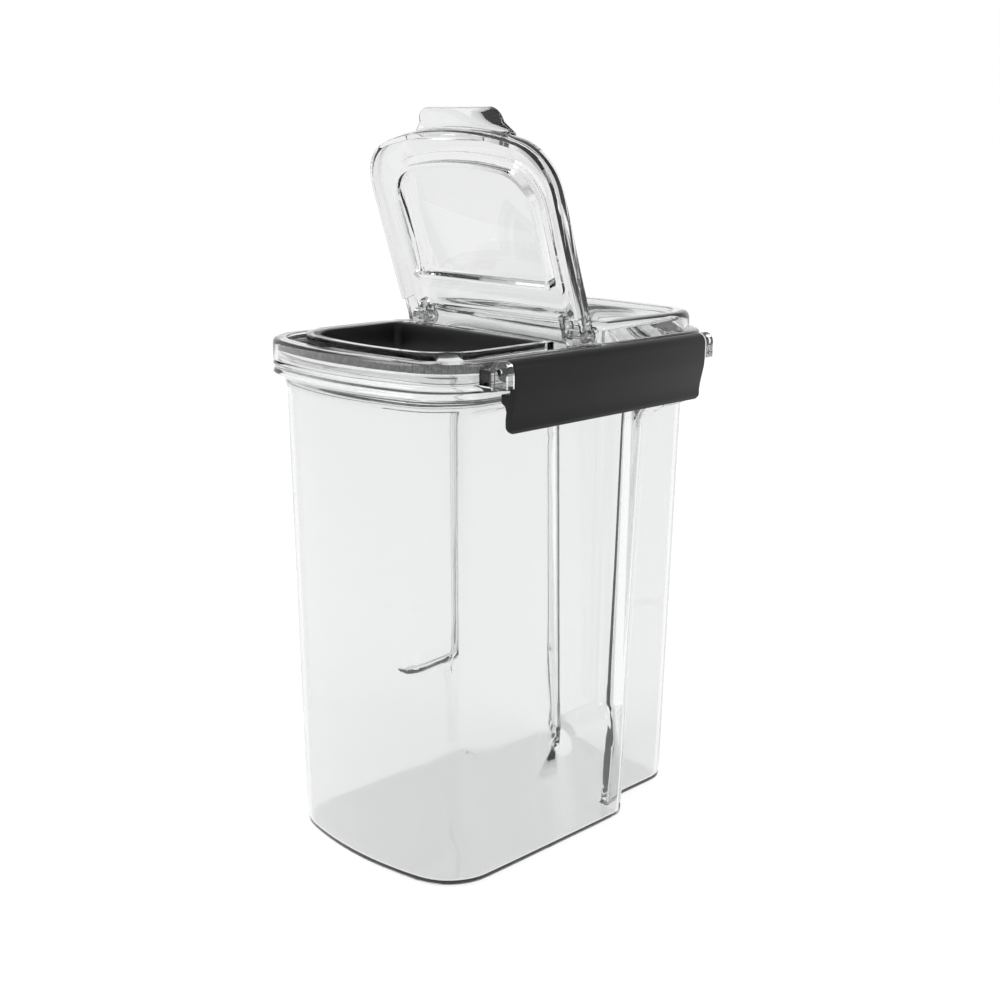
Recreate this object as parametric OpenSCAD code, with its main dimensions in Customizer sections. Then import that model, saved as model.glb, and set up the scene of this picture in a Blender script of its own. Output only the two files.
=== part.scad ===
// Cereal container with a flip spout: a clear tub, a clear lid held by one long latch on its
// right side, and a clear pouring flap over a black spout liner. +X is the latch side, -Y the
// pouring end and +Z up. The origin is on the table, under the middle of the lid, and the flap
// is half open.

/* [Tub] */
// Half width of the foot
foot_half_w = 52; // [48:0.5:54]
// Distance from the middle to the front of the foot
foot_front = 77; // [74:0.5:79]
// Distance from the middle to the rear of the foot
foot_rear = 82; // [76:0.5:83]
// Half width of the mouth, just under the rim flange
mouth_half_w = 54.5; // [53.5:0.25:55]
// Distance from the middle to the front of the mouth
mouth_front = 81; // [79:0.5:82]
// Distance from the middle to the rear of the mouth
mouth_rear = 82.6; // [82:0.1:84]
// Thickness of the side walls
wall = 2.2; // [1.6:0.1:2.6]
// Thickness of the floor
floor_t = 2.6; // [2:0.1:5]
// Radius of the upright corners at the pouring end
corner_r = 23; // [16:1:26]
// Radius of the curved front face
front_face_r = 147; // [120:5:250]
// Radius of the nearly flat rear face
rear_face_r = 400; // [300:10:800]
// Radius where the walls meet the floor
foot_r = 3.5; // [2:0.5:6]

/* [Hand grip] */
// Half width of the narrow grip at the foot
grip_half_w = 39.2; // [34:0.2:42]
// How much wider each side of the grip is at the top
grip_draft = 4.6; // [2:0.2:5]
// Place of the step behind the wide body, at the foot
step_foot_y = 34.5; // [30:0.5:40]
// Place of the same step at the top
step_top_y = 41; // [41:0.5:46]
// Height of the roof over the grip
roof_z = 182.5; // [165:0.5:200]
// Height from that roof to the underside of the rim flange
neck_h = 17.5; // [14:0.5:30]
// Radius of the upright corners behind the grip
grip_corner_r = 9; // [6:0.5:14]
// Radius of the upright edges of the step
step_r = 4.5; // [2:0.5:4.5]
// Radius where the step curves into the roof
roof_r = 8.5; // [6:0.5:9]

/* [Finger recess] */
// Depth of the finger recess in each long side
recess_d = 8.5; // [4:0.5:9]
// Height of the ledge under the recess
ledge_z = 53.5; // [35:0.5:90]
// Front edge of the recess at the ledge
recess_front_low = -8.5; // [-14:0.5:0]
// Front edge of the recess at its top
recess_front_high = -14; // [-20:0.5:-8]
// Rear edge of the recess
recess_rear = 28.5; // [20:0.5:28.5]
// Run of the slanting front wall of the recess
recess_front_run = 3.5; // [2:0.5:6]
// Run of the slanting rear wall of the recess
recess_rear_run = 5; // [3:0.5:7]

/* [Rim] */
// Height of the rim flange
flange_t = 5.8; // [4:0.2:7]
// Overhang of the flange beyond the mouth
flange_side = 4; // [3:0.25:4.5]
// Height of the sealing lip over the flange
lip_h = 4.2; // [3.5:0.1:4.2]
// Thickness of the sealing lip
lip_t = 2.4; // [1.6:0.2:2.8]
// How much further the flange stands out at the front than at the sides
nose = 1.5; // [1:0.1:1.6]
// Thickness of the catch ledge
catch_t = 2.2; // [1.6:0.1:2.6]

/* [Lid] */
// How far the lid's sides lie inside the edge of the flange
lid_set = 0.1; // [0:0.05:0.4]
// How far the lid's ends stand out beyond the edge of the flange
lid_end = 0.2; // [0:0.05:0.5]
// Height of the skirt and border over its lower edge
lid_h = 8.4; // [8.3:0.1:8.8]
// Thickness of the skirt
skirt_t = 2.2; // [1.8:0.1:2.4]
// Thickness of the border over the gasket
border_t = 1.2; // [1:0.1:1.3]
// Width of the border round the top
border_w = 5.6; // [5.5:0.1:5.8]
// Radius of the lid's rounded top edge
edge_r = 2; // [1:0.1:2.4]
// Depth of the sunk floor below the border
sunk_d = 2.6; // [2.3:0.1:3]
// Thickness of the sunk floor
deck_t = 1.6; // [1.2:0.1:1.7]
// Depth of the locating wall that drops into the mouth
spigot_h = 8; // [5:0.5:10]
// Radius of the lid's upright corners
lid_corner_r = 27; // [26:0.5:29]
// Height of the rear half over the sunk floor
plateau_h = 10.5; // [8:0.25:12]
// Radius of the rear half's rounded top edge
plateau_r = 3; // [1:0.25:3.5]
// Depth of the sunk panel in the rear half
panel_d = 2; // [1:0.25:3]
// Width of the rim round that panel
panel_rim = 7; // [5:0.5:10]

/* [Gasket] */
// Height of the gasket
gasket_h = 3; // [2:0.1:3]
// Width of the gasket
gasket_w = 2; // [1.4:0.1:2.1]

/* [Spout] */
// Half width of the liner's rim
liner_half_w = 43.8; // [41:0.1:44.5]
// Front edge of the liner's rim
liner_front = -71.5; // [-72:0.5:-66]
// Rear edge of the liner's rim
liner_rear = -12.5; // [-20:0.5:-12]
// Width of the liner's rim
liner_rim_w = 2.8; // [2.6:0.1:4]
// Height of the liner's rim
liner_rim_h = 4; // [3:0.25:4.25]
// Depth of the liner's walls below its rim
liner_depth = 8; // [6:0.5:8]
// Thickness of the liner's walls
liner_t = 1.6; // [1.2:0.1:1.8]
// Thickness of the clear collar round the liner
collar_t = 3; // [2:0.1:3.2]
// How much higher the collar stands than the liner's rim
collar_over = 0.4; // [0:0.1:0.8]

/* [Flap] */
// Opening of the flap from shut, as it stands
flap_open = 71.3; // [0:0.1:88]
// Gap between the flap and the border that it lies in
flap_gap = 0.6; // [0.5:0.1:1]
// Radius of the flap's front corners
flap_corner_r = 21; // [21:0.5:26]
// Thickness of the flap's plate
flap_t = 2; // [1.5:0.1:2.4]
// Height of the flap over its hinge
flap_over = 2.5; // [2.3:0.1:2.7]
// Depth of the flap's rim below its top
flap_rim_h = 7; // [5:0.25:7]
// Thickness of the flap's rim
flap_rim_t = 2; // [1.5:0.1:2.4]
// Running gap between the flap's plug and the liner
plug_gap = 0.6; // [0.4:0.1:1]
// Thickness of the flap's plug wall
plug_t = 1.9; // [1.4:0.1:2.4]
// Width of the plug's shoulder over the liner's rim
shoulder_w = 3; // [2:0.1:3.2]
// Half width of the thumb tab at its root
tab_half_w = 28.6; // [20:0.2:29]
// Radius of the thumb tab's corners
tab_r = 6; // [3:0.5:7]
// Height of the thumb tab's top over the flap
tab_up = 4.5; // [2.5:0.25:6]
// Thickness of the thumb tab
tab_t = 1.6; // [1.2:0.1:2]
// Reach of the thumb tab beyond the arch
tab_reach = 6.4; // [4:0.2:7]
// Place of the flap's hinge along the lid
hinge_y = 4.2; // [3:0.1:4.6]
// Height of the flap's hinge over the sunk floor
hinge_up = 5; // [4.8:0.1:5.2]
// Radius of the hinge eyes
eye_r = 3.3; // [2.8:0.1:3.6]
// Width of each clear eye on the lid
eye_w = 7; // [5:0.5:7.5]
// Radius of the flap's hinge pins
flap_pin_r = 1.6; // [1.2:0.1:1.8]

/* [Latch] */
// Length of the latch
latch_l = 112.5; // [80:0.5:114]
// Place of the latch's middle along the lid
latch_y = -2.5; // [-5:0.5:2]
// Distance of the latch's hinge beyond the lid's edge
latch_off = 9.6; // [9:0.1:10]
// Height of the latch's hinge over the underside of the flange
latch_hinge_up = 12.2; // [12:0.1:12.6]
// Radius of the latch's barrel
barrel_r = 3.9; // [3.5:0.1:4]
// Radius of the latch's hinge pin
latch_pin_r = 1.5; // [1:0.1:2]
// Height of the latch below its hinge
latch_drop = 23.4; // [22:0.2:26]
// Radius of the latch's lower corners
latch_corner_r = 2.5; // [1:0.5:5]
// Thickness of the latch's plate
latch_t = 2.8; // [2:0.1:3]
// Reach of the hook from the latch's plate
hook_reach = 4.4; // [3.5:0.1:4.6]
// How far the hook lies under the catch ledge
hook_hold = 1.7; // [1:0.1:1.7]
// Length of each clear hinge boss
boss_l = 4.5; // [3.5:0.5:8]
// How far the arm that carries a boss is set back from its ends
boss_step = 0.9; // [0.5:0.1:1.2]

/* [Fits] */
// Gap between still pieces that sit against each other
seat_gap = 0.3; // [0.2:0.05:0.4]
// Gap between a moving piece and what it moves past
run_gap = 0.4; // [0.3:0.05:0.6]
// Radial clearance of a hinge pin in the eye that turns on it
pin_fit = 0.05; // [0.02:0.01:0.1]

/* [Hidden] */
$fn = 64;
eps = 0.01;

// Heights that follow from the driving sizes
flange_z = roof_z + neck_h;
flange_top = flange_z + flange_t;
lip_top = flange_top + lip_h;
skirt_z = flange_top + run_gap;
lid_half_w = mouth_half_w + flange_side - lid_set;
lid_half_l = mouth_rear + flange_side + lid_end;
latch_hinge_x = lid_half_w + latch_off;
lid_top = skirt_z + lid_h;
deck_top = lid_top - sunk_d;
deck_z = deck_top - deck_t;
gasket_z = lip_top + seat_gap;
border_z = lid_top - border_t;
plateau_top = deck_top + plateau_h;
hinge_z = deck_top + hinge_up;
latch_hinge_z = flange_z + latch_hinge_up;
catch_z = flange_top - catch_t;
hook_tip_x = latch_hinge_x + barrel_r - latch_t - hook_reach;
catch_reach = hook_tip_x + hook_hold;

// Places on the lid
border_in_w = lid_half_w - border_w;
border_in_l = lid_half_l - border_w;
skirt_in_w = lid_half_w - skirt_t;
skirt_in_l = lid_half_l - skirt_t;
post_t = 2;
groove_z = 2.4;
groove_d = 0.8;
spigot_t = 1.8;
channel_t = 1.1;
flap_half_w = border_in_w - flap_gap;
flap_l = border_in_l + hinge_y - flap_gap;
plateau_half_w = flap_half_w + 2.5;
plateau_front = hinge_y + eye_r + run_gap;
plateau_rear = lid_half_l - 5;
plateau_t = 2;
plateau_corner_r = 24;
plateau_bow = 0.4;
liner_corner_r = 20;
arm_w = 2.4;
arm_gap = run_gap;
arm_l = 9;
arm_z = flap_over - flap_rim_h + 1.5;
plate_y = 6;
shoulder_z = deck_top + liner_rim_h + seat_gap - hinge_z;
tab_root = 5.2;
tab_wall = 2;
tab_draw = 5;
latch_end_gap = run_gap;
rail_reach = 4;
pin_inset = 1;
rail_gap = 2.4;

// Steps along an arc from one angle to another
function arc(cx, cy, r, a0, a1, n) = [for (i = [0:n]) [cx + r * cos(a0 + (a1 - a0) * i / n),
                                                       cy + r * sin(a0 + (a1 - a0) * i / n)]];
// Height at which the centre of a corner stands, for a corner that meets a curved end face
function corner_y(a, end, r, face_r) = face_r - end - sqrt(pow(face_r - r, 2) - pow(a - r, 2));
// Angle at which the end face runs into the corner
function corner_a(a, r, face_r) = acos((a - r) / (face_r - r));
// Right half of an end: curved face, then the corner, for an end that points to -Y
function end_half(a, end, r, face_r, nf, nc) =
    let (t = corner_a(a, r, face_r), yc = face_r - end)
    concat([for (i = [0:nf - 1]) let (q = -90 + (90 - t) * i / nf) [face_r * cos(q), yc + face_r * sin(q)]],
           arc(a - r, corner_y(a, end, r, face_r), r, -t, 0, nc));
function flip_y(p) = [for (i = [len(p) - 1:-1:0]) [p[i][0], -p[i][1]]];
function flip_x(p) = [for (i = [len(p) - 1:-1:0]) [-p[i][0], p[i][1]]];
// Mirrors a right half into a whole outline, without doubling the points on the middle line
function whole(p) = concat(p, [for (q = flip_x(p)) if (abs(q[0]) > eps) q]);
// Outline with a curved front face and a flatter rear face
function plan(a, front, rear, rf, rr) =
    whole(concat(end_half(a, front, rf, front_face_r, 5, 10), flip_y(end_half(a, rear, rr, rear_face_r, 3, 10))));

module plate(a, front, rear, rf, rr, z0, z1) {
    translate([0, 0, z0]) linear_extrude(z1 - z0) polygon(plan(a, front, rear, rf, rr));
}

// Ring between two outlines that lie a given distance apart
module ring(a, front, rear, r, t, z0, z1) {
    difference() {
        plate(a, front, rear, r, r, z0, z1);
        plate(a - t, front - t, rear - t, r - t, r - t, z0 - eps, z1 + eps);
    }
}

// The tub's wall is one skin that climbs the outside, turns over the rim and comes down the inside.
// Each level of it is an outline with the same number of points, drawn in by its inset: 0 is the
// outside, the wall thickness is the inside, and a negative inset stands out beyond the mouth.
function mix(a, b, t) = a + (b - a) * t;
function side_x(z) = mix(foot_half_w, mouth_half_w, z / flange_z);
function grip_x(z) = grip_half_w + grip_draft * z / roof_z;
function roof_bend(z, top) = let (u = min(1, max(0, (z - top) / roof_r + 1))) roof_r * (1 - sqrt(1 - u * u));
function step_y(z, top) = mix(step_foot_y, step_top_y, z / roof_z) + roof_bend(z, top);
// Half outline at height z: g is how far the grip is drawn in and c how deep the recess is, from 0 to 1
function tub_half(z, g, c, shrink, inset) =
    let (top = roof_z + max(0, inset),
         zc = min(z, flange_z),
         a = side_x(zc) - inset - shrink,
         fr = mix(foot_front, mouth_front, zc / flange_z) - inset * (inset < 0 ? nose : 1) - shrink,
         re = mix(foot_rear, mouth_rear, zc / flange_z) - inset - shrink,
         rf = corner_r - inset,
         n = mix(a, grip_x(z) - inset - shrink, g),
         rr = mix(corner_r - inset, grip_corner_r - inset * 0.6, g),
         s = step_y(z, top) - inset - shrink * 0.25,
         k = max(1.6, step_r - max(0, inset)),
         d = recess_d * c,
         post = c * (inset > 0 ? post_t : 0),
         deep = max(0, inset),
         y0 = mix(recess_front_low, recess_front_high, (zc - ledge_z) / (roof_z - ledge_z)) - deep * 0.67,
         y1 = y0 + recess_front_run,
         y3 = recess_rear + deep * c * 0.57 - post * recess_rear_run / recess_d,
         y2 = y3 - recess_rear_run * (1 - post / recess_d),
         rise = min(k, (a - post - n) / 2 + 0.001))
    concat(end_half(a, fr, rf, front_face_r, 4, 8),
           [[a, y0 - 1.2], [a - d * 0.08, y0 + 0.3], [a - d * 0.92, y1 - 0.3], [a - d, y1 + 1.2]],
           [[a - d, y2 - 1.2], [a - d * 0.92, y2 + 0.3]],
           [[a - post - (d - post) * 0.08, y3 - 0.3], [a - post, y3 + 0.5]],
           [for (i = [0:4]) [a - post - rise * (1 - cos(i * 22.5)), s - k * (1 - sin(i * 22.5)) + 0.3]],
           [for (i = [1:4]) [n + rise * (1 - sin(i * 22.5)), s + k * (1 - cos(i * 22.5)) + 0.3]],
           flip_y(end_half(n, re, rr, rear_face_r, 3, 6)));

// Levels as [height, draw-in of the grip, depth of the recess, shrink towards the foot, inset]
function body_levels(z0, r, t) = concat(
    [for (i = [0:4]) [z0 + r * (1 - cos(i * 22.5)), 1, 0, r * (1 - sin(i * 22.5)), t]],
    [[ledge_z - t, 1, 0, 0, t], [ledge_z - t + 0.5, 1, 0.9, 0, t], [ledge_z - t + 1.5, 1, 1, 0, t]],
    [for (i = [0:5]) [roof_z + t - roof_r * (1 - sin(i * 16)), 1, 1, 0, t]],
    [[roof_z + t + 0.2, 0.8, 1, 0, t], [roof_z + t + 0.7, 0.15, 1, 0, t], [roof_z + t + 1.6, 0, 1, 0, t]],
    [[roof_z + t + 4, 0, 1, 0, t], [roof_z + t + 4.9, 0, 0.1, 0, t], [roof_z + t + 6, 0, 0, 0, t]]);
function rim_levels() = [
    for (v = [[0, 0], [0, flange_side], [groove_z - 0.6, flange_side], [groove_z, flange_side - groove_d],
              [groove_z + 0.8, flange_side - groove_d], [groove_z + 1.4, flange_side], [flange_t, flange_side],
              [flange_t, lip_t - 1], [flange_t + lip_h - 0.6, lip_t - 1], [flange_t + lip_h, lip_t - 1.2],
              [flange_t + lip_h, -0.5], [flange_t + lip_h - 0.6, -1]])
        [flange_z + v[0], 0, 0, 0, -v[1]]];
function backwards(v) = [for (i = [len(v) - 1:-1:0]) v[i]];

// Solid through outlines that are stacked from the bottom up, each symmetric about the middle line
module stack(rings, heights) {
    n = len(rings[0]);
    h = n / 2;
    last = (len(rings) - 1) * n;
    pts = [for (i = [0:len(rings) - 1]) for (p = rings[i]) [p[0], p[1], heights[i]]];
    sides = [for (i = [0:len(rings) - 2]) for (j = [0:n - 1]) each panel(i * n, i * n + n, j, n)];
    under = [for (j = [0:h - 1]) each [[j, j + 1, n - j - 1], if (j > 0) [j, n - j - 1, n - j]]];
    bottom = [for (f = under) if (f[1] != f[2]) f];
    top = [for (f = bottom) [last + f[2], last + f[1], last + f[0]]];
    polyhedron(points = pts, faces = concat(bottom, sides, top), convexity = 6);
}

// Two triangles between neighbouring points of two outlines that start at a and b
function panel(a, b, j, n) = [[a + j, b + j, a + (j + 1) % n], [a + (j + 1) % n, b + j, b + (j + 1) % n]];

module skin(levels) {
    stack([for (v = levels) whole(tub_half(v[0], v[1], v[2], v[3], v[4]))], [for (v = levels) v[0]]);
}

module catch_ledge() {
    len = latch_l + 4;
    translate([mouth_half_w, latch_y - len / 2, catch_z]) cube([catch_reach - mouth_half_w, len, catch_t]);
}

module tub() {
    color([0.92, 0.94, 0.95, 0.4]) {
        skin(concat(body_levels(0, foot_r, 0), rim_levels(),
                    backwards(body_levels(floor_t, max(0.8, foot_r - wall), wall))));
        catch_ledge();
    }
}

// The pouring mouth's outline: round corners in front, nearly square ones at the hinge
module mouth_plan(out) {
    a = liner_half_w + out;
    polygon(whole(concat(end_half(a, -liner_front + out, liner_corner_r + out, front_face_r, 5, 10),
                         arc(a - 3, liner_rear + out - 3, 3, 0, 90, 4))));
}

module mouth_ring(out, t, z0, z1) {
    translate([0, 0, z0]) linear_extrude(z1 - z0) difference() {
        mouth_plan(out);
        mouth_plan(out - t);
    }
}

// Steps of a rounded top edge, as [draw-in, distance below the top]
function round_over(r) = [for (i = [0:5]) [r * (1 - cos(i * 18)), r * (1 - sin(i * 18))]];

// Skirt and border of the lid in one ring, whose section runs up the outside and down the inside
module lid_rim() {
    loop = concat([[0, skirt_z]], [for (v = round_over(edge_r)) [v[0], lid_top - v[1]]],
                  [[border_w, lid_top], [border_w, border_z], [skirt_t, border_z], [skirt_t, skirt_z]]);
    rings = [for (v = loop) plan(lid_half_w - v[0], lid_half_l - v[0], lid_half_l - v[0],
                                 lid_corner_r - v[0], lid_corner_r - v[0])];
    n = len(rings[0]);
    m = len(loop);
    polyhedron(points = [for (i = [0:m - 1]) for (p = rings[i]) [p[0], p[1], loop[i][1]]],
               faces = [for (i = [0:m - 1]) for (j = [0:n - 1]) each panel(i * n, (i + 1) % m * n, j, n)],
               convexity = 6);
}

// Rear half of the lid top, as a hollow raised box with a sunk panel
function plateau_line(out) =
    let (a = plateau_half_w + out)
    whole(concat([[0, plateau_front - out - plateau_bow]], arc(a - 3, plateau_front - out + 3, 3, -90, 0, 4),
                 flip_y(end_half(a, plateau_rear + out, plateau_corner_r + out, rear_face_r, 3, 10))));
module plateau_plan(out) {
    polygon(plateau_line(out));
}

module plateau() {
    difference() {
        union() {
            stack(concat([plateau_line(0)], [for (v = round_over(plateau_r)) plateau_line(-v[0])]),
                  concat([border_z], [for (v = round_over(plateau_r)) plateau_top - v[1]]));
            translate([0, 0, deck_z]) linear_extrude(border_z - deck_z + eps) intersection() {
                plateau_plan(0);
                polygon(plan(border_in_w, border_in_l, border_in_l, lid_corner_r - border_w, lid_corner_r - border_w));
            }
        }
        translate([0, 0, deck_z - 1]) linear_extrude(plateau_top - panel_d - plateau_t - deck_z + 1)
            plateau_plan(-plateau_t);
        translate([0, 0, deck_z - 1]) linear_extrude(plateau_top - plateau_t - deck_z + 1) difference() {
            plateau_plan(-plateau_t);
            plateau_plan(plateau_t - panel_rim);
        }
        translate([0, 0, plateau_top - panel_d]) linear_extrude(panel_d + 1) plateau_plan(-panel_rim);
    }
}

// Eye that carries one end of the flap, at the right-hand side
module lid_eye() {
    x0 = flap_half_w - arm_w - arm_gap - eye_w;
    translate([x0, hinge_y, hinge_z]) rotate([0, 90, 0]) cylinder(r = eye_r, h = eye_w);
    translate([x0, hinge_y - eye_r, deck_top - eps]) cube([eye_w, 2 * eye_r, hinge_z - deck_top]);
}

module lid_eye_bore() {
    x0 = flap_half_w - arm_w - arm_gap - eye_w;
    translate([x0 - 1, hinge_y, hinge_z]) rotate([0, 90, 0]) cylinder(r = flap_pin_r + pin_fit, h = eye_w + 2);
}

// One clear boss beside the latch, as high and wide as the latch's barrel, on an arm from the skirt
module latch_boss(y0) {
    x0 = lid_half_w - skirt_t / 2;
    translate([0, y0 + boss_l, 0]) rotate([90, 0, 0]) linear_extrude(boss_l) {
        translate([latch_hinge_x, latch_hinge_z]) circle(r = barrel_r);
        translate([latch_hinge_x - barrel_r, skirt_z]) square([2 * barrel_r, latch_hinge_z - skirt_z]);
    }
    translate([x0, y0 + boss_step, skirt_z])
        cube([latch_hinge_x - x0, boss_l - 2 * boss_step, lid_h - rail_gap]);
}

module latch_mount() {
    y0 = latch_y - latch_l / 2 - latch_end_gap - boss_l;
    y1 = latch_y + latch_l / 2 + latch_end_gap;
    latch_boss(y0);
    latch_boss(y1);
    translate([lid_half_w - skirt_t / 2, y0 + 1, skirt_z])
        cube([skirt_t / 2 + rail_reach, y1 - y0, lid_h - rail_gap]);
}

module latch_bore() {
    y1 = latch_y + latch_l / 2 + latch_end_gap + boss_l;
    translate([latch_hinge_x, y1 + 1, latch_hinge_z]) rotate([90, 0, 0])
        cylinder(r = latch_pin_r, h = latch_l + 2 * (latch_end_gap + boss_l) + 2);
}

module lid_shell() {
    color([0.92, 0.94, 0.95, 0.4])
    difference() {
        union() {
            lid_rim();
            ring(border_in_w + channel_t, border_in_l + channel_t, border_in_l + channel_t,
                 lid_corner_r - border_w + channel_t, channel_t, lip_top + run_gap, border_z + eps);
            ring(mouth_half_w - wall - run_gap, mouth_front - wall - run_gap, mouth_rear - wall - run_gap,
                 corner_r - wall, spigot_t, deck_top - spigot_h, deck_z + eps);
            difference() {
                plate(border_in_w + eps, border_in_l + eps, border_in_l + eps, lid_corner_r - border_w,
                      lid_corner_r - border_w, deck_z, deck_top);
                translate([0, 0, deck_z - 1]) linear_extrude(deck_t + 2)
                    mouth_plan(liner_t - liner_rim_w + seat_gap / 2);
                translate([0, 0, deck_z - 1]) linear_extrude(deck_t + 2) plateau_plan(-plateau_t);
            }
            mouth_ring(collar_t + seat_gap / 3, collar_t, deck_top - eps, deck_top + liner_rim_h + collar_over);
            plateau();
            for (s = [0, 1]) mirror([s, 0, 0]) lid_eye();
            latch_mount();
        }
        for (s = [0, 1]) mirror([s, 0, 0]) lid_eye_bore();
        latch_bore();
    }
}

module lid_gasket() {
    color([0.3, 0.3, 0.3])
    ring(skirt_in_w - seat_gap / 3, skirt_in_l - seat_gap / 3, skirt_in_l - seat_gap / 3,
         lid_corner_r - skirt_t, gasket_w, gasket_z, gasket_z + gasket_h);
}

module spout_liner() {
    color([0.1, 0.1, 0.1]) {
        mouth_ring(0, liner_rim_w, deck_top, deck_top + liner_rim_h);
        mouth_ring(liner_t - liner_rim_w, liner_t, deck_top - liner_depth, deck_top + eps);
    }
}

// The flap is drawn shut, lying towards -Y from a hinge at the origin, and is then swung open
module flap_plan(out) {
    a = flap_half_w + out;
    polygon(whole(concat(end_half(a, flap_l + out, flap_corner_r + out, front_face_r, 6, 12),
                         [[a, -plate_y], [0, -plate_y]])));
}

module plug_plan(out) {
    translate([0, -hinge_y]) mouth_plan(out - liner_rim_w - plug_gap);
}

// Thumb tab, seen from above: wide at its root and rounded at its outer corners
module tab_plan() {
    y = -flap_l - tab_reach + tab_r;
    a = tab_half_w - tab_draw - tab_r;
    root = -flap_l + tab_root;
    polygon(concat([[-tab_half_w, root], [-tab_half_w, root - 1]], arc(-a, y, tab_r, 180, 270, 8),
                   arc(a, y, tab_r, 270, 360, 8), [[tab_half_w, root - 1], [tab_half_w, root]]));
}

// Raised thumb tab on a low wall that stands on the flap's plate
module thumb_tab() {
    translate([0, 0, flap_over + tab_up - tab_t]) linear_extrude(tab_t) tab_plan();
    translate([-tab_half_w + 2, -flap_l + tab_root - tab_wall, flap_over - eps])
        cube([2 * tab_half_w - 4, tab_wall, tab_up - tab_t + 2 * eps]);
}

// Arm from the flap down to its eye, between x0 and x0 + arm_w
module flap_arm(x0) {
    translate([x0, 0, 0]) rotate([0, 90, 0]) cylinder(r = eye_r, h = arm_w);
    translate([x0, -arm_l, arm_z]) cube([arm_w, arm_l, flap_over - arm_z]);
}

// Ring between two outlines around the plug, from a height up to the flap's plate
module plug_ring(out, t, z0) {
    translate([0, 0, z0]) linear_extrude(flap_over - z0 - eps) difference() {
        plug_plan(out);
        plug_plan(out - t);
    }
}

module flap_shape() {
    outer = flap_half_w - arm_w;
    inner = flap_half_w - 2 * (arm_w + arm_gap) - eye_w;
    difference() {
        union() {
            translate([0, 0, flap_over - flap_t]) linear_extrude(flap_t) flap_plan(0);
            translate([0, 0, flap_over - flap_rim_h]) linear_extrude(flap_rim_h) difference() {
                flap_plan(0);
                flap_plan(-flap_rim_t);
                translate([-flap_half_w, -arm_l]) square([2 * flap_half_w, 2 * arm_l]);
            }
            plug_ring(0, plug_t, flap_over - flap_rim_h);
            plug_ring(shoulder_w, shoulder_w + plug_t / 2, shoulder_z);
            thumb_tab();
            for (s = [0, 1]) mirror([s, 0, 0]) {
                flap_arm(outer);
                flap_arm(inner);
            }
        }
        for (s = [0, 1]) mirror([s, 0, 0]) {
            translate([inner - 1, 0, 0]) rotate([0, 90, 0]) cylinder(r = flap_pin_r, h = flap_half_w - inner + 2);
        }
    }
}

module swing() {
    translate([0, hinge_y, hinge_z]) rotate([-flap_open, 0, 0]) children();
}

module pour_flap() {
    color([0.92, 0.94, 0.95, 0.4]) swing() flap_shape();
}

module flap_pin() {
    x0 = flap_half_w - 2 * (arm_w + arm_gap) - eye_w;
    color([0.9, 0.92, 0.93]) swing() translate([x0, 0, 0]) rotate([0, 90, 0])
        cylinder(r = flap_pin_r, h = flap_half_w - x0);
}

module flap_pin_right() {
    flap_pin();
}

module flap_pin_left() {
    mirror([1, 0, 0]) flap_pin();
}

// Cross-section of the latch, as distances from its hinge
module latch_section() {
    face = barrel_r;
    back = face - latch_t;
    hook_z = catch_z - seat_gap - latch_hinge_z;
    polygon([[face, 0], [face, -6.5], [face - 0.3, -9.5], [face - 1.1, -13], [face - 1.9, -16.5],
             [face - 2.3, 3.9 - latch_drop], [face - 2.2, 1.4 - latch_drop], [face - 2.7, -latch_drop],
             [face - 3.9, -latch_drop], [face - 4.9, 2 - latch_drop], [back - 2.2, hook_z - 9.1],
             [back - 1.8, hook_z - 6.5], [back - 2.4, hook_z - 4.5], [back - hook_reach, hook_z - 3.2],
             [back - hook_reach, hook_z], [back, hook_z], [back, 0]]);
}

// The latch seen from the side, with rounded lower corners
module latch_outline() {
    y0 = latch_y - latch_l / 2;
    y1 = latch_y + latch_l / 2;
    z0 = latch_hinge_z - latch_drop;
    z1 = latch_hinge_z + barrel_r + 1;
    polygon(concat(arc(y0 + latch_corner_r, z0 + latch_corner_r, latch_corner_r, 180, 270, 6),
                   arc(y1 - latch_corner_r, z0 + latch_corner_r, latch_corner_r, 270, 360, 6), [[y1, z1], [y0, z1]]));
}

module side_latch() {
    color([0.13, 0.13, 0.13]) intersection() {
        translate([latch_hinge_x, latch_y + latch_l / 2, latch_hinge_z]) rotate([90, 0, 0]) difference() {
            union() {
                linear_extrude(latch_l) latch_section();
                cylinder(r = barrel_r, h = latch_l);
            }
            translate([0, 0, -1]) cylinder(r = latch_pin_r + pin_fit, h = latch_l + 2);
        }
        translate([latch_hinge_x - 2 * barrel_r, 0, 0]) rotate([90, 0, 90]) linear_extrude(4 * barrel_r) latch_outline();
    }
}

module latch_pin() {
    y1 = latch_y + latch_l / 2 + latch_end_gap + boss_l - pin_inset;
    color([0.13, 0.13, 0.13]) translate([latch_hinge_x, y1, latch_hinge_z]) rotate([90, 0, 0])
        cylinder(r = latch_pin_r, h = latch_l + 2 * (latch_end_gap + boss_l - pin_inset));
}

tub();
lid_shell();
lid_gasket();
spout_liner();
pour_flap();
flap_pin_right();
flap_pin_left();
side_latch();
latch_pin();
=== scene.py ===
import math

import bpy
from mathutils import Matrix, Vector


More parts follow.
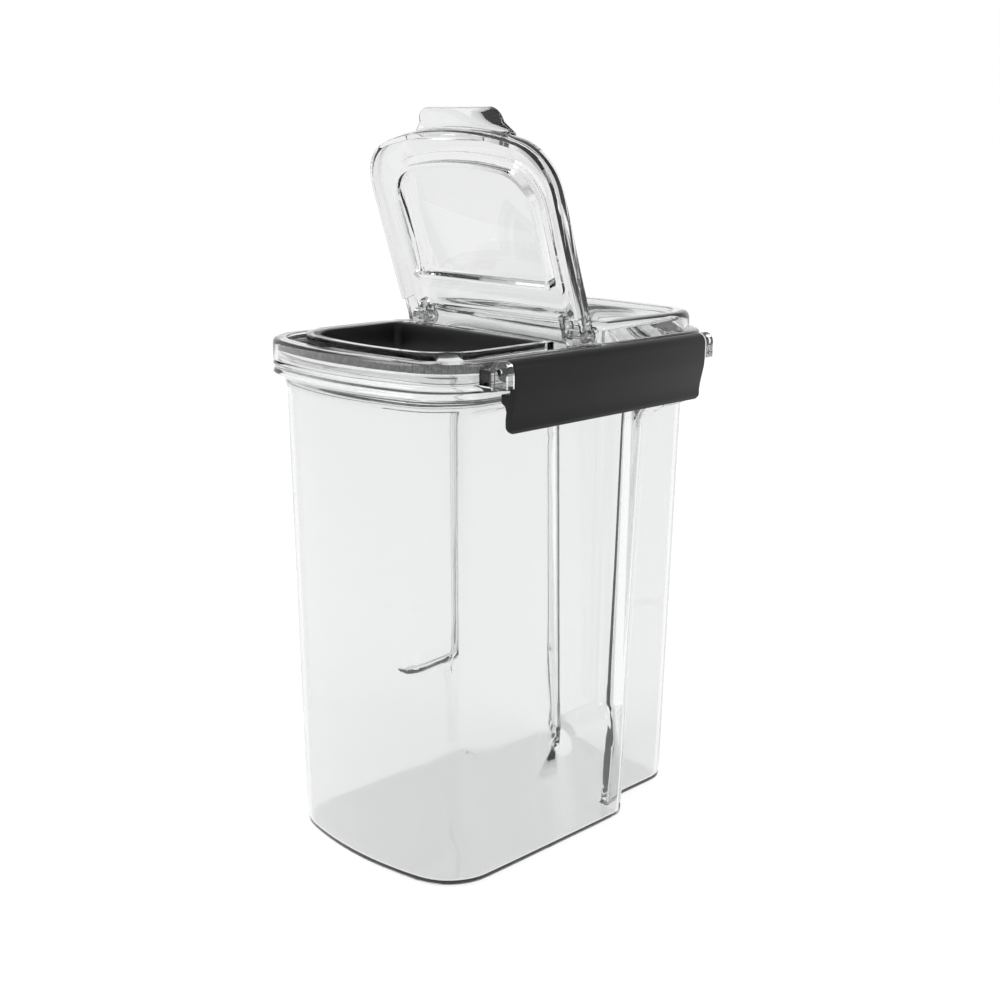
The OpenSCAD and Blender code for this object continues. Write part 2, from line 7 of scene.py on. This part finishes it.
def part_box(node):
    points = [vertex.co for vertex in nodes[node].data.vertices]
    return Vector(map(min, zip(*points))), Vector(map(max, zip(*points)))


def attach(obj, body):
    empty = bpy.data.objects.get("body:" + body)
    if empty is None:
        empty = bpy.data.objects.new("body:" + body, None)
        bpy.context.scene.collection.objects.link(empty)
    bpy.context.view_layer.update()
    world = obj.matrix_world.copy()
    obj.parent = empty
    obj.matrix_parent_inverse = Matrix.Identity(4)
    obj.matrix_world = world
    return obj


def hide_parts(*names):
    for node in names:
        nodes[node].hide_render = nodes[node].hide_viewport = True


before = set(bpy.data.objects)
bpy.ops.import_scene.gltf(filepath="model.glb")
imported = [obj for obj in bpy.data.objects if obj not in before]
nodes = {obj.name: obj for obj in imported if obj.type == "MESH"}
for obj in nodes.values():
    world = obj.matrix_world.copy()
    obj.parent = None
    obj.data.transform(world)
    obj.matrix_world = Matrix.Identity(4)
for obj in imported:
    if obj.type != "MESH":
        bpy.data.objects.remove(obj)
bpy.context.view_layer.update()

# Camera: a short telephoto view from the right of the pouring end, a little above the lid.
# It was fitted to the outlines of the rim, the foot and the step.
scene = bpy.context.scene
camera_place = (0.4394, -0.4382, 0.2969)
view_azimuth = math.radians(44.642)
downward_look = 14.03
view_tilt = math.radians(90 - downward_look)
view_roll = math.radians(0.478)

lens = bpy.data.cameras.new("studio_camera")
lens.sensor_width = 36
lens.lens = 53.38
lens.clip_start = 0.01
lens.clip_end = 100
camera = bpy.data.objects.new("studio_camera", lens)
scene.collection.objects.link(camera)
camera.matrix_world = (
    Matrix.Translation(camera_place)
    @ Matrix.Rotation(view_azimuth, 4, "Z")
    @ Matrix.Rotation(view_tilt, 4, "X")
    @ Matrix.Rotation(view_roll, 4, "Z")
)
scene.camera = camera

# Backdrop, floor and light: a white sweep with no edge in sight. A greyer band of sky high up lets
# the thick edges of the clear plastic draw themselves as darker lines.
MM = 0.001
band_grey = 0.6
floor_grey = 0.3
floor_glow = 0.8
floor_drop = 0.2 * MM


class Value:
    """One output of a shader node. Plain arithmetic on it adds the Math nodes."""

    def __init__(self, finish, output):
        self.finish = finish
        self.output = output

    def math(self, operation, *values):
        return self.finish.node("ShaderNodeMath", {"operation": operation}, dict(enumerate(values)))

    def __add__(self, other):
        return self.math("ADD", self, other)

    def __mul__(self, other):
        return self.math("MULTIPLY", self, other)

    __radd__ = __add__
    __rmul__ = __mul__


class Finish:
    """A node tree that is filled in step by step, for a material or for the sky."""

    def __init__(self, tree):
        self.tree = tree

    def node(self, kind, settings=None, inputs=None, output=0):
        made = self.tree.nodes.new(kind)
        for name, value in (settings or {}).items():
            if name == "stops":
                ramp = made.color_ramp
                while len(ramp.elements) < len(value):
                    ramp.elements.new(0.5)
                for element, (place, colour) in zip(ramp.elements, value):
                    element.position = place
                    element.color = colour
            else:
                setattr(made, name, value)
        for name, value in (inputs or {}).items():
            self.feed(made.inputs[name], value)
        return Value(self, made.outputs[output])

    def feed(self, socket, value):
        if isinstance(value, Value):
            self.tree.links.new(value.output, socket)
        else:
            socket.default_value = value

    def ramp(self, value, *stops):
        return self.node("ShaderNodeValToRGB", {"stops": stops}, {0: value})

    def noise(self, place, scale, detail):
        return self.node("ShaderNodeTexNoise", {}, {"Vector": place, "Scale": scale, "Detail": detail})

    def bump(self, height, strength, distance):
        return self.node("ShaderNodeBump", {}, {"Height": height, "Strength": strength, "Distance": distance})


def grey(level):
    return (level, level, level, 1)


world = bpy.data.worlds.new("studio_sky")
scene.world = world
world.use_nodes = True
sky = Finish(world.node_tree)
sky_place = sky.node("ShaderNodeTexCoord", {}, {}, "Generated")
sky_height = sky.node("ShaderNodeSeparateXYZ", {}, {0: sky_place}, "Z")
sky_colour = sky.ramp(sky_height * 0.5 + 0.5, (0.0, grey(1.0)), (0.66, grey(1.0)), (0.74, grey(band_grey)),
                      (0.84, grey(band_grey)), (0.92, grey(0.95)))
sky.feed(world.node_tree.nodes["Background"].inputs["Color"], sky_colour)

bpy.ops.mesh.primitive_plane_add(size=60, location=(0, 0, -floor_drop))
floor = bpy.context.object
floor.name = "studio_floor"
floor_paint = bpy.data.materials.new("studio_floor")
floor_paint.use_nodes = True
floor_shader = floor_paint.node_tree.nodes["Principled BSDF"]
floor_shader.inputs["Base Color"].default_value = grey(floor_grey)
floor_shader.inputs["Roughness"].default_value = 0.9
floor_shader.inputs["Specular IOR Level"].default_value = 0.0
floor_shader.inputs["Emission Color"].default_value = grey(1.0)
floor_shader.inputs["Emission Strength"].default_value = floor_glow
floor.data.materials.append(floor_paint)


def softbox(name, place, aim, size, power):
    lamp = bpy.data.lights.new(name, "AREA")
    lamp.shape = "RECTANGLE"
    lamp.size, lamp.size_y = size
    lamp.energy = power
    lamp_object = bpy.data.objects.new(name, lamp)
    scene.collection.objects.link(lamp_object)
    place = Vector(place)
    turn = (Vector(aim) - place).to_track_quat("-Z", "Y")
    lamp_object.matrix_world = Matrix.Translation(place) @ turn.to_matrix().to_4x4()


softbox("key_light", (-0.5, -1.1, 1.0), (0, 0, 0.15), (0.7, 0.9), 9)
softbox("fill_light", (1.2, 0.2, 0.9), (0, 0, 0.15), (0.6, 0.6), 5)
scene.view_settings.view_transform = "Standard"

# Tub: one thin-walled injection moulding in clear, faintly grey styrene. The CAD skin is rounded
# once more, so that its upright corners and the recess edges have no facets.
seam_distance = 0.04 * MM
tub_tint = 0.86
tub_waviness = 0.2 * MM
flat_enough = math.radians(8)
square_enough = math.radians(60)
rounding_levels = 1


def plastic(name, colour, **constants):
    material = bpy.data.materials.new(name)
    material.use_nodes = True
    finish = Finish(material.node_tree)
    shader = material.node_tree.nodes["Principled BSDF"]
    shader.inputs["Base Color"].default_value = (*colour, 1)
    for socket, value in constants.items():
        shader.inputs[socket.replace("_", " ")].default_value = value
    place = finish.node("ShaderNodeTexCoord", {}, {}, "Object")
    return material, finish, shader.inputs, place


def clear_plastic(name, tint, waviness):
    colour = (tint, tint + 0.005, tint + 0.004)
    material, finish, inputs, place = plastic(name, colour, Transmission_Weight=1.0, IOR=1.5)
    flow = finish.noise(place, 30.0, 1.0)
    finish.feed(inputs["Roughness"], flow * 0.02 + 0.01)
    finish.feed(inputs["Normal"], finish.bump(flow, 0.2, waviness))
    return material


def copy_of(node_name, piece_name):
    bpy.ops.object.select_all(action="DESELECT")
    piece = nodes[node_name].copy()
    piece.data = nodes[node_name].data.copy()
    piece.name = piece_name
    piece.parent = None
    for key in list(piece.keys()):
        del piece[key]
    scene.collection.objects.link(piece)
    piece.select_set(True)
    bpy.context.view_layer.objects.active = piece
    bpy.ops.object.mode_set(mode="EDIT")
    bpy.ops.mesh.select_all(action="SELECT")
    bpy.ops.mesh.remove_doubles(threshold=seam_distance)
    bpy.ops.object.mode_set(mode="OBJECT")
    return piece


def put_on(piece, node_name, body, material, smooth_angle):
    bpy.ops.object.shade_smooth_by_angle(angle=math.radians(smooth_angle))
    piece.data.materials.clear()
    piece.data.materials.append(material)
    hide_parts(node_name)
    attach(piece, body)


tub = copy_of("tub", "clear_tub")
bpy.ops.object.mode_set(mode="EDIT")
bpy.ops.mesh.tris_convert_to_quads(face_threshold=flat_enough, shape_threshold=square_enough)
bpy.ops.object.mode_set(mode="OBJECT")
rounding = tub.modifiers.new("rounding", "SUBSURF")
rounding.levels = rounding_levels
rounding.render_levels = rounding_levels
bpy.ops.object.modifier_apply(modifier="rounding")
put_on(tub, "tub", "tub", clear_plastic("tub_clear", tub_tint, tub_waviness), 40)

# Lid: one clear moulding with a rounded outer edge and a raised, hollow rear half. It carries
# the gasket, the liner, the two eyes of the flap and the two bosses of the latch.
lid_tint = 0.85
lid_waviness = 0.1 * MM
same_plane = math.radians(0.5)


def flatten(piece):
    bpy.ops.object.mode_set(mode="EDIT")
    bpy.ops.mesh.select_all(action="SELECT")
    bpy.ops.mesh.dissolve_limited(angle_limit=same_plane, use_dissolve_boundaries=False)
    bpy.ops.object.mode_set(mode="OBJECT")


lid = copy_of("lid_shell", "clear_lid")
flatten(lid)
put_on(lid, "lid_shell", "lid", clear_plastic("lid_clear", lid_tint, lid_waviness), 35)

# Gasket: grey silicone ring under the lid's border, moulded with fine upright ribs round its
# outside. It lies in the lid, between the border and the tub's sealing lip.
gasket_half_w = 56.1
gasket_half_l = 84.5
gasket_corner_r = 24.8
front_face_r = 147.0
rear_face_r = 400.0
gasket_w = 2.0
rib_pitch = 1.25
rib_depth = 0.35
arc_steps = 40
rib_profile = (0.0, 0.3, 1.0, 0.3)


def rounded_end(half_w, end, corner, face):
    """Right half of the outline's end that points to -Y: half the curved face, then the corner."""
    open_angle = math.acos((half_w - corner) / (face - corner))
    corner_y = face - end - math.sqrt((face - corner) ** 2 - (half_w - corner) ** 2)
    points = []
    for step in range(arc_steps):
        angle = -math.pi / 2 + (math.pi / 2 - open_angle) * step / arc_steps
        points.append((face * math.cos(angle), face - end + face * math.sin(angle)))
    for step in range(arc_steps + 1):
        angle = -open_angle * (1 - step / arc_steps)
        points.append((half_w - corner + corner * math.cos(angle), corner_y + corner * math.sin(angle)))
    return points


def lid_outline(half_w, half_l, corner):
    front = rounded_end(half_w, half_l, corner, front_face_r)
    rear = [(x, -y) for x, y in reversed(rounded_end(half_w, half_l, corner, rear_face_r))]
    half = front + rear
    return half + [(-x, y) for x, y in reversed(half[1:-1])]


def walk(points, pitch):
    """Points at equal steps along a closed outline, with the direction of the outline there."""
    legs = list(zip(points, points[1:] + points[:1]))
    total = sum(math.dist(a, b) for a, b in legs)
    count = round(total / pitch)
    places = []
    done = 0.0
    for a, b in legs:
        length = math.dist(a, b)
        while len(places) < count and len(places) * total / count < done + length:
            part = (len(places) * total / count - done) / length
            places.append((a[0] + (b[0] - a[0]) * part, a[1] + (b[1] - a[1]) * part,
                           (b[0] - a[0]) / length, (b[1] - a[1]) / length))
        done += length
    return places


def ribbed(points, pitch, depth):
    """The outline with rounded ribs on it: each one is a crown between two valleys."""
    line = []
    for index, (x, y, along_x, along_y) in enumerate(walk(points, pitch / len(rib_profile))):
        inset = depth * rib_profile[index % len(rib_profile)]
        line.append((x - along_y * inset, y + along_x * inset))
    return line


def flat_ring(name, outer, inner, low, high):
    sheet = bpy.data.curves.new(name, "CURVE")
    sheet.dimensions = "2D"
    sheet.fill_mode = "BOTH"
    sheet.extrude = (high - low) / 2 * MM
    for outline in (outer, inner):
        spline = sheet.splines.new("POLY")
        spline.points.add(len(outline) - 1)
        for point, (x, y) in zip(spline.points, outline):
            point.co = (x * MM, y * MM, 0, 1)
        spline.use_cyclic_u = True
    piece = bpy.data.objects.new(name, sheet)
    scene.collection.objects.link(piece)
    bpy.ops.object.select_all(action="DESELECT")
    piece.select_set(True)
    bpy.context.view_layer.objects.active = piece
    piece.location.z = (high + low) / 2 * MM
    bpy.ops.object.convert(target="MESH")
    bpy.ops.object.transform_apply(location=True, rotation=False, scale=False)
    bpy.ops.object.mode_set(mode="EDIT")
    bpy.ops.mesh.select_all(action="SELECT")
    bpy.ops.mesh.remove_doubles(threshold=0.01 * MM)
    bpy.ops.mesh.normals_make_consistent(inside=False)
    bpy.ops.object.mode_set(mode="OBJECT")
    return bpy.context.object


gasket_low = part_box("lid_gasket")[0][2] / MM
gasket_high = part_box("lid_gasket")[1][2] / MM
gasket_outer = lid_outline(gasket_half_w, gasket_half_l, gasket_corner_r)
gasket_inner = lid_outline(gasket_half_w - gasket_w, gasket_half_l - gasket_w, gasket_corner_r - gasket_w)
gasket = flat_ring("ribbed_gasket", ribbed(gasket_outer, rib_pitch, rib_depth), gasket_inner,
                   gasket_low, gasket_high)
gasket_rubber, finish, inputs, place = plastic("gasket_rubber", (0.15, 0.15, 0.15))
grain = finish.noise(place, 700.0, 2.0)
finish.feed(inputs["Base Color"], finish.ramp(grain, (0.35, grey(0.1)), (0.7, grey(0.24))))
finish.feed(inputs["Roughness"], grain * 0.2 + 0.45)
finish.feed(inputs["Normal"], finish.bump(grain, 0.2, 0.05 * MM))
put_on(gasket, "lid_gasket", "lid", gasket_rubber, 30)

# Spout liner: black polypropylene sleeve of the pouring mouth. It is pressed into the deck of the
# lid, with its rim on the deck, and its edges are softened.


def black_plastic(name, level, roughness, shine):
    material, finish, inputs, place = plastic(name, (level, level, level), Specular_IOR_Level=shine)
    flow = finish.noise(place, 60.0, 3.0)
    grain = finish.noise(place, 2500.0, 1.0)
    finish.feed(inputs["Base Color"], finish.ramp(flow, (0.3, grey(level * 0.85)), (0.7, grey(level * 1.2))))
    finish.feed(inputs["Roughness"], flow * 0.1 + (roughness - 0.05))
    finish.feed(inputs["Normal"], finish.bump(grain, 0.15, 0.05 * MM))
    return material


def soften(piece, radius, steps, least_angle=50):
    bpy.ops.object.mode_set(mode="EDIT")
    bpy.ops.mesh.select_mode(type="EDGE")
    bpy.ops.mesh.select_all(action="DESELECT")
    bpy.ops.mesh.edges_select_sharp(sharpness=math.radians(least_angle))
    bpy.ops.mesh.bevel(offset=radius * MM, segments=steps, profile=0.5, clamp_overlap=True)
    bpy.ops.object.mode_set(mode="OBJECT")


liner = copy_of("spout_liner", "black_liner")
flatten(liner)
soften(liner, 0.5, 3)
put_on(liner, "spout_liner", "lid", black_plastic("liner_black", 0.004, 0.4, 0.26), 35)

# Pouring flap: one clear moulding with a rim, a plug rib inside it, a raised thumb tab and a pair of
# arms at each eye of the lid. Its edges are softened.
flap = copy_of("pour_flap", "clear_flap")
flatten(flap)
soften(flap, 0.5, 2)
flap_clear = clear_plastic("flap_clear", 0.8, 0.1 * MM)
put_on(flap, "pour_flap", "flap", flap_clear, 35)

# Flap pins: two short clear pins, one at each side, that the flap turns on. They pass through the
# lid's eyes and are pressed into the flap's arms.
for side in ("right", "left"):
    pin = copy_of("flap_pin_" + side, "clear_pin_" + side)
    flatten(pin)
    soften(pin, 0.2, 2)
    put_on(pin, "flap_pin_" + side, "flap", flap_clear, 35)

# Side latch: one long black moulding. It turns on its barrel at the lid's edge, and its inner hook
# lies under the tub's ledge.
latch_black = black_plastic("latch_black", 0.006, 0.36, 0.2)
latch = copy_of("side_latch", "black_latch")
flatten(latch)
soften(latch, 0.5, 3)
put_on(latch, "side_latch", "latch", latch_black, 35)

# Latch pin: a thin black pin along the latch's barrel. It is held in the lid's two bosses, and the
# latch turns round it.
latch_pin = copy_of("latch_pin", "black_latch_pin")
flatten(latch_pin)
soften(latch_pin, 0.2, 2)
put_on(latch_pin, "latch_pin", "lid", latch_black, 35)
